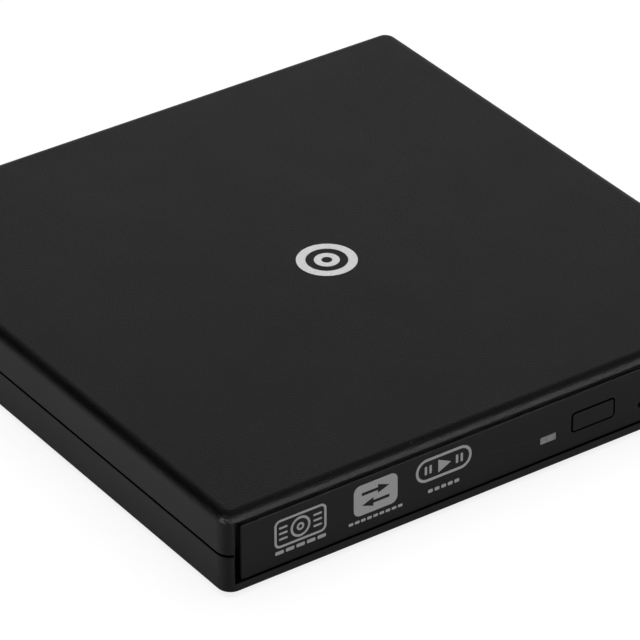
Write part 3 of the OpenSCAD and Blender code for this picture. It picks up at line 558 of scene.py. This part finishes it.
def framed_disc_sign():
    """A disc with its hub inside a frame with three bars at each side, over a row of dashes."""
    from_left = 17.0
    x, z = front_place(from_left, 9.3)
    rim_outer, rim_inner, hub_outer, hub_inner = 2.25 * MM, 1.75 * MM, 0.85 * MM, 0.4 * MM
    bar_way, bar_step = 3.9 * MM, 1.25 * MM
    outlines = [
        rounded_rectangle(x, z, 11.8 * MM, 6.3 * MM, 1.3 * MM),
        rounded_rectangle(x, z, 10.8 * MM, 5.3 * MM, 0.85 * MM),
    ]
    outlines += [round_outline(x, z, r) for r in (rim_outer, rim_inner, hub_outer, hub_inner)]
    for side in (-1, 1):
        for row in (-1, 0, 1):
            outlines.append(rounded_rectangle(
                x + side * bar_way, z + row * bar_step, 1.9 * MM, 0.45 * MM, 0.15 * MM))
    outlines += dashes(
        front_place(from_left, 5.15), 5, step=2.4 * MM, wide=1.9 * MM, high=0.75 * MM, r=0.2 * MM)
    return front_sign("sign_framed_disc", outlines)


def arrow_outline(x, z, length, high, way):
    """An arrow along X round (x, z), pointing right for way 1 and left for way -1."""
    half, neck, stem = length / 2, length * 0.08, high * 0.17
    shape = [
        (-half, -stem), (neck, -stem), (neck, -high / 2), (half, 0),
        (neck, high / 2), (neck, stem), (-half, stem),
    ]
    return [(x + way * px, z + pz) for px, pz in shape]


def arrow_badge_sign():
    """A filled badge with two opposed arrows cut out of it, over a dashed line."""
    from_left = 34.2
    x, z = front_place(from_left, 9.6)
    arrow_long, arrow_high, arrow_offset = 6.4 * MM, 2.0 * MM, 1.25 * MM
    outlines = [rounded_rectangle(x, z, 10.1 * MM, 6.8 * MM, 1.5 * MM)]
    for way in (1, -1):
        outlines.append(arrow_outline(x, z + way * arrow_offset, arrow_long, arrow_high, way))
    outlines += dashes(
        front_place(from_left, 5.0), 9, step=1.42 * MM, wide=1.05 * MM, high=0.6 * MM, r=0.18 * MM)
    return front_sign("sign_arrow_badge", outlines)


def play_sign():
    """A play triangle in a capsule between two pairs of bars, over a short dashed line."""
    from_left = 50.05
    x, z = front_place(from_left, 10.5)
    back, tip, half_high = x - 1.3 * MM, x + 1.7 * MM, 1.45 * MM
    near_bar, far_bar = 3.1 * MM, 4.2 * MM
    outlines = [
        rounded_rectangle(x, z, 13.1 * MM, 5.2 * MM, 2.55 * MM),
        rounded_rectangle(x, z, 11.9 * MM, 4.0 * MM, 1.95 * MM),
        [(back, z - half_high), (tip, z), (back, z + half_high)],
    ]
    for offset in (-far_bar, -near_bar, near_bar, far_bar):
        outlines.append(rounded_rectangle(x + offset, z, 0.55 * MM, 1.9 * MM, 0.2 * MM))
    outlines += dashes(
        front_place(from_left, 5.55), 5, step=1.55 * MM, wide=1.1 * MM, high=0.75 * MM, r=0.18 * MM)
    return front_sign("sign_play", outlines)


framed_disc_sign()
arrow_badge_sign()
play_sign()


# ---------------------------------------------------------------- springs and thread

SPRING_WITH_CLOSED_ENDS = 3


def coil_path(middle, axis, radius, turns, start, end, steps_per_turn=24):
    """Points of a helix round an axis through middle. The end turns of a long one lie flat."""
    axis = Vector(axis)
    side = axis.orthogonal().normalized()
    up = axis.cross(side)
    count = int(turns * steps_per_turn)
    points = []
    for k in range(count + 1):
        a = 2 * math.pi * turns * k / count
        share = k / count
        if turns > SPRING_WITH_CLOSED_ENDS:
            share = min(max((k - steps_per_turn) / (count - 2 * steps_per_turn), 0), 1)
        along = start + (end - start) * share
        points.append(middle + axis * along + radius * (side * math.cos(a) + up * math.sin(a)))
    return points


def ejector_spring():
    """The release spring, squeezed between its housing and the plunger's collar."""
    low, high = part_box("ejector_spring")
    wire = 0.25 * MM
    turns = 6
    middle = Vector(((low.x + high.x) / 2, 0, (low.z + high.z) / 2))
    radius = (high.x - low.x) / 2 - wire
    path = coil_path(middle, (0, 1, 0), radius, turns, low.y + wire, high.y - wire)
    spring = add_piece("ejector_spring_coil", swept_tube(path, wire), None, "bright_steel")
    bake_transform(spring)
    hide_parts("ejector_spring")


def latch_spring():
    """The coil of the torsion spring round the latch's pivot."""
    low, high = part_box("latch_spring")
    wire = 0.22 * MM
    turns = 3
    middle = (low + high) / 2
    middle.z = 0
    radius = (high.x - low.x) / 2 - wire
    path = coil_path(middle, (0, 0, 1), radius, turns, low.z + wire, high.z - wire)
    spring = add_piece("latch_spring_coil", swept_tube(path, wire), "tray", "bright_steel")
    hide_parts("latch_spring")


SCREW_RADIUS = 1.0 * MM
GROOVE = 0.28 * MM
PITCH = 3 * MM
THREAD_STARTS = 2
GROOVE_SHARPNESS = 1.6
GROOVE_SHARE = 0.2
PLAIN_END = 1.5 * MM
SCREW_STEP = 0.25 * MM


def groove_depth(a, along, length):
    """How deep the thread cuts at an angle and a place along the screw; it runs out at both ends."""
    wave = math.cos(THREAD_STARTS * (a - 2 * math.pi * along / (PITCH * THREAD_STARTS)))
    run_out = min(min(along, length - along) / PLAIN_END, 1)
    return GROOVE * min(max(-wave * GROOVE_SHARPNESS + GROOVE_SHARE, 0), 1) * run_out


def threaded_screw():
    """The lead screw with its coarse thread, turned from one rod."""
    low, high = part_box("lead_screw")
    way = Vector((-1, -1, 0)).normalized()
    side = Vector((0, 0, 1))
    across = way.cross(side)
    inset = SCREW_RADIUS * math.sqrt(0.5)
    first = Vector((high.x - inset, high.y - inset, (low.z + high.z) / 2))
    last = Vector((low.x + inset, low.y + inset, (low.z + high.z) / 2))
    length = (last - first).length
    rows = int(length / SCREW_STEP)
    sides = 32
    bm = bmesh.new()
    rings = []
    for k in range(rows + 1):
        along = length * k / rows
        ring = []
        for j in range(sides):
            a = 2 * math.pi * j / sides
            r = SCREW_RADIUS - groove_depth(a, along, length)
            outwards = across * math.cos(a) + side * math.sin(a)
            ring.append(bm.verts.new(first + way * along + r * outwards))
        rings.append(ring)
    for lower, upper in zip(rings, rings[1:]):
        for j in range(sides):
            n = (j + 1) % sides
            bm.faces.new((lower[j], lower[n], upper[n], upper[j]))
    bm.faces.new(list(reversed(rings[0])))
    bm.faces.new(rings[-1])
    mesh = bpy.data.meshes.new("lead_screw_thread")
    bmesh.ops.recalc_face_normals(bm, faces=bm.faces)
    bm.to_mesh(mesh)
    bm.free()
    for face in mesh.polygons:
        face.use_smooth = len(face.vertices) == 4
    thread = add_piece("lead_screw_thread", mesh, "lead_screw", "bright_steel")
    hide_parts("lead_screw")


ejector_spring()
latch_spring()
threaded_screw()


# ---------------------------------------------------------------- the flat cable under the tray

def ribbon(name, profile, x_low, x_high, thickness, columns=10):
    """A flat cable whose side view is a path of (y, z) points, closed all round."""
    bm = bmesh.new()
    rows = []
    for k, (y, z) in enumerate(profile):
        before, after = profile[max(k - 1, 0)], profile[min(k + 1, len(profile) - 1)]
        ahead = Vector((0, after[0] - before[0], after[1] - before[1])).normalized()
        up = Vector((1, 0, 0)).cross(ahead) * thickness / 2
        row = []
        for sign in (1, -1):
            for c in range(columns + 1):
                x = x_low + (x_high - x_low) * (c if sign > 0 else columns - c) / columns
                row.append(bm.verts.new(Vector((x, y, z)) + up * sign))
        rows.append(row)
    count = len(rows[0])
    for lower, upper in zip(rows, rows[1:]):
        for j in range(count):
            n = (j + 1) % count
            bm.faces.new((lower[j], lower[n], upper[n], upper[j]))
    for row in (rows[0], rows[-1]):
        for c in range(columns):
            bm.faces.new((row[c], row[c + 1], row[count - 2 - c], row[count - 1 - c]))
    bmesh.ops.recalc_face_normals(bm, faces=bm.faces)
    mesh = bpy.data.meshes.new(name)
    bm.to_mesh(mesh)
    bm.free()
    return mesh


def rounded_path(corners, r, steps=5):
    """The (y, z) corners of a path joined by straight lines, with an arc of about radius r at each bend."""
    points = [Vector(corners[0])]
    for before, corner, after in zip(corners, corners[1:], corners[2:]):
        corner = Vector(corner)
        come = (Vector(before) - corner).normalized() * r
        leave = (Vector(after) - corner).normalized() * r
        for k in range(steps + 1):
            t = k / steps
            points.append(corner + come * (1 - t) ** 2 + leave * t ** 2)
    points.append(Vector(corners[-1]))
    return points


def even_steps(points, longest):
    """The same path with extra points, so that no step is longer than the given length."""
    path = [points[0]]
    for a, b in zip(points, points[1:]):
        count = max(1, math.ceil((b - a).length / longest))
        path += [a.lerp(b, k / count) for k in range(1, count + 1)]
    return path


FILM = 0.1 * MM
BEND_RADIUS = 0.8 * MM
CABLE_STEP = 1.2 * MM
FOLD_STEPS = 10
# Where the cable turns up into the tray, along Y
CABLE_TRAY_END = 15.55 * MM


def half_turn(y, z_low, z_high):
    """The fold: half a circle that bulges towards the front, from its lower end to its upper one."""
    r = (z_high - z_low) / 2
    angles = [math.pi * k / FOLD_STEPS for k in range(1, FOLD_STEPS + 1)]
    return [Vector((y - r * math.sin(a), z_low + r * (1 - math.cos(a)))) for a in angles]


def flat_cable():
    """Two legs joined by a fold: the lower one lies in the shell, the upper one runs under the tray."""
    low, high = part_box("tray_flex")
    under_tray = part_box("tray_bottom_cover")[0].z - 0.11 * MM
    on_pan = low.z + FILM / 2
    socket_low, socket_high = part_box("flex_socket")
    in_socket = (socket_low.z + socket_high.z) / 2 - 0.2 * MM
    before_socket = socket_low.y - 2 * MM
    fold_y = low.y + (under_tray - on_pan) / 2 + FILM / 2
    lower = rounded_path([
        (socket_low.y + 0.1 * MM, in_socket), (before_socket, in_socket),
        (before_socket, on_pan), (fold_y, on_pan),
    ], BEND_RADIUS)
    upper = rounded_path([
        (fold_y, under_tray), (CABLE_TRAY_END, under_tray), (CABLE_TRAY_END, high.z),
    ], BEND_RADIUS)
    fixed_path = even_steps(lower, CABLE_STEP) + half_turn(fold_y, on_pan, under_tray)
    moving_path = even_steps(upper, CABLE_STEP)
    fixed_leg = add_piece(
        "flat_cable_fixed_leg", ribbon("fixed_leg", fixed_path, low.x, high.x, FILM),
        "shell", "flex_film")
    moving_leg = add_piece(
        "flat_cable_moving_leg", ribbon("moving_leg", moving_path, low.x, high.x, FILM),
        None, "flex_film")
    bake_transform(moving_leg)
    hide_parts("tray_flex")


flat_cable()


# ---------------------------------------------------------------- floor, light and camera

def camera_only(tree, for_camera, for_others):
    """A shader that differs between what the camera sees and what lights the object."""
    path = tree.nodes.new("ShaderNodeLightPath")
    blend = tree.nodes.new("ShaderNodeMixShader")
    tree.links.new(path.outputs["Is Camera Ray"], blend.inputs["Fac"])
    tree.links.new(for_others.outputs[0], blend.inputs[1])
    tree.links.new(for_camera.outputs[0], blend.inputs[2])
    return blend


# The camera sees a nearly evenly white floor; the object mirrors it as grey, darkest on the camera's side
FLOOR_GLOW = 0.85
FLOOR_SHADED = 0.2
FLOOR_SEEN_BY_OBJECT = 0.45
FLOOR_DIM = 0.235
FLOOR_DIM_WAY = Vector((0.7, 0.48, 0.53)).normalized()
FLOOR_DIM_EDGE = (0.8, 0.97)
FLOOR_FAR = 0.25
FLOOR_FADE = (0.16, 0.3)
FLOOR_HALF_SIZE = 4.0
# The feet stand a hair above the paper, so that their faces don't lie in its plane
FLOOR_DROP = 0.05 * MM
# The room lights the object with a band near the horizon, which is dark at the back left
HORIZON_LIGHT = 0.15
ZENITH_LIGHT = 0.12
BAND_EDGE = (0.56, 0.68)
DARK_WAY = Vector((-0.45, 0.75, 0.48)).normalized()
DARK_EDGE = (0.64, 0.88)


def fade(tree, value, edge, high, low):
    """From high to low, smoothly, as value crosses the edge's start and end."""
    node = tree.nodes.new("ShaderNodeMapRange")
    node.interpolation_type = "SMOOTHSTEP"
    for name, number in (("From Min", edge[0]), ("From Max", edge[1]), ("To Min", high), ("To Max", low)):
        node.inputs[name].default_value = number
    tree.links.new(value, node.inputs["Value"])
    return node.outputs["Result"]


def along(tree, direction, way):
    """How far a direction socket points along a fixed way, from -1 to 1."""
    node = tree.nodes.new("ShaderNodeVectorMath")
    node.operation = "DOT_PRODUCT"
    tree.links.new(direction, node.inputs[0])
    node.inputs[1].default_value = way
    return node.outputs["Value"]


def times(tree, a, b):
    """The product of two sockets."""
    node = tree.nodes.new("ShaderNodeMath")
    node.operation = "MULTIPLY"
    tree.links.new(a, node.inputs[0])
    tree.links.new(b, node.inputs[1])
    return node.outputs["Value"]


def make_floor():
    """Pale paper under the object."""
    bm = bmesh.new()
    bmesh.ops.create_grid(bm, x_segments=4, y_segments=4, size=FLOOR_HALF_SIZE)
    mesh = bpy.data.meshes.new("floor")
    bm.to_mesh(mesh)
    bm.free()
    floor = bpy.data.objects.new("floor", mesh)
    floor.location.z = -FLOOR_DROP
    bpy.context.scene.collection.objects.link(floor)
    mesh.materials.append(paper())


def paper():
    """Evenly bright for the camera; for the object grey, darker away from it and on the camera's side."""
    material = bpy.data.materials.new("floor_paper")
    material.use_nodes = True
    tree = material.node_tree
    bright = tree.nodes["Principled BSDF"]
    bright.inputs["Base Color"].default_value = rgba(FLOOR_SHADED)
    bright.inputs["Roughness"].default_value = 0.9
    bright.inputs["Specular IOR Level"].default_value = 0.0
    bright.inputs["Emission Color"].default_value = rgba(1.0)
    bright.inputs["Emission Strength"].default_value = FLOOR_GLOW
    seen = tree.nodes.new("ShaderNodeNewGeometry")
    towards = along(tree, seen.outputs["Incoming"], FLOOR_DIM_WAY)
    grey = fade(tree, towards, FLOOR_DIM_EDGE, FLOOR_SEEN_BY_OBJECT, FLOOR_DIM)
    away = tree.nodes.new("ShaderNodeVectorMath")
    away.operation = "LENGTH"
    tree.links.new(seen.outputs["Position"], away.inputs[0])
    near = fade(tree, away.outputs["Value"], FLOOR_FADE, 1.0, FLOOR_FAR)
    dim = tree.nodes.new("ShaderNodeBsdfDiffuse")
    tree.links.new(times(tree, grey, near), dim.inputs["Color"])
    both = camera_only(tree, bright, dim)
    tree.links.new(both.outputs[0], tree.nodes["Material Output"].inputs["Surface"])
    return material


def make_world():
    """A white room for the camera, and a dimmer one that lights the object."""
    world = bpy.data.worlds.new("studio")
    bpy.context.scene.world = world
    world.use_nodes = True
    tree = world.node_tree
    white = tree.nodes["Background"]
    white.inputs["Color"].default_value = rgba(1.0)
    band = tree.nodes.new("ShaderNodeBackground")
    way = tree.nodes.new("ShaderNodeTexCoord").outputs["Generated"]
    height = fade(tree, along(tree, way, (0, 0, 1)), BAND_EDGE, HORIZON_LIGHT, ZENITH_LIGHT)
    dark = fade(tree, along(tree, way, DARK_WAY), DARK_EDGE, 1.0, 0.0)
    tree.links.new(times(tree, height, dark), band.inputs["Strength"])
    both = camera_only(tree, white, band)
    tree.links.new(both.outputs[0], tree.nodes["World Output"].inputs["Surface"])


def area_light(name, place, size, watts, target=(0, 0, 0), seen_in_gloss=True):
    """A panel of light that shows only in reflections, or else only lights matt surfaces."""
    lamp = bpy.data.lights.new(name, "AREA")
    lamp.shape = "RECTANGLE"
    lamp.size, lamp.size_y = size
    lamp.energy = watts
    thing = bpy.data.objects.new(name, lamp)
    thing.location = place
    thing.rotation_euler = (Vector(target) - Vector(place)).to_track_quat("-Z", "Y").to_euler()
    thing.visible_glossy = seen_in_gloss
    thing.visible_diffuse = not seen_in_gloss
    bpy.context.scene.collection.objects.link(thing)


def make_camera():
    """A long lens at the front left of the drive, some 30 degrees above its lid."""
    azimuth, elevation, roll = math.radians(-34.52), math.radians(31.94), math.radians(-0.4)
    distance = 0.952
    aim = Vector((-0.0158, -0.0192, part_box("top_cover")[1].z))
    back = Vector((
        math.sin(azimuth) * math.cos(elevation),
        -math.cos(azimuth) * math.cos(elevation),
        math.sin(elevation),
    ))
    lens = bpy.data.cameras.new("camera")
    lens.lens = 273.4
    lens.sensor_width = 36
    lens.shift_x = 0.02627
    lens.shift_y = -0.00075
    lens.clip_start, lens.clip_end = 0.05, 50
    camera = bpy.data.objects.new("camera", lens)
    level_right = Vector((math.cos(azimuth), math.sin(azimuth), 0))
    level_up = back.cross(level_right)
    right = level_right * math.cos(roll) + level_up * math.sin(roll)
    up = back.cross(right)
    turn = Matrix((right, up, back)).transposed().to_4x4()
    camera.matrix_world = Matrix.Translation(aim + back * distance) @ turn
    bpy.context.scene.collection.objects.link(camera)
    bpy.context.scene.camera = camera


make_floor()
make_world()
area_light("overhead", place=(0, 0, 1.6), size=(2.4, 2.4), watts=32, seen_in_gloss=False)
area_light("back_panel", place=(0.55, 0.85, 0.3), size=(1.3, 0.55), watts=0.68, target=(0, 0.05, 0.02))
area_light("front_right_softbox", place=(0.75, -1.3, 0.42), size=(0.9, 0.34), watts=4.7)
area_light("front_softbox", place=(-0.4, -1.35, 0.5), size=(0.8, 0.3), watts=5.2)
area_light("left_softbox", place=(-1.45, -0.1, 0.3), size=(0.2, 0.2), watts=7.0)
make_camera()
bpy.context.scene.view_settings.view_transform = "Standard"
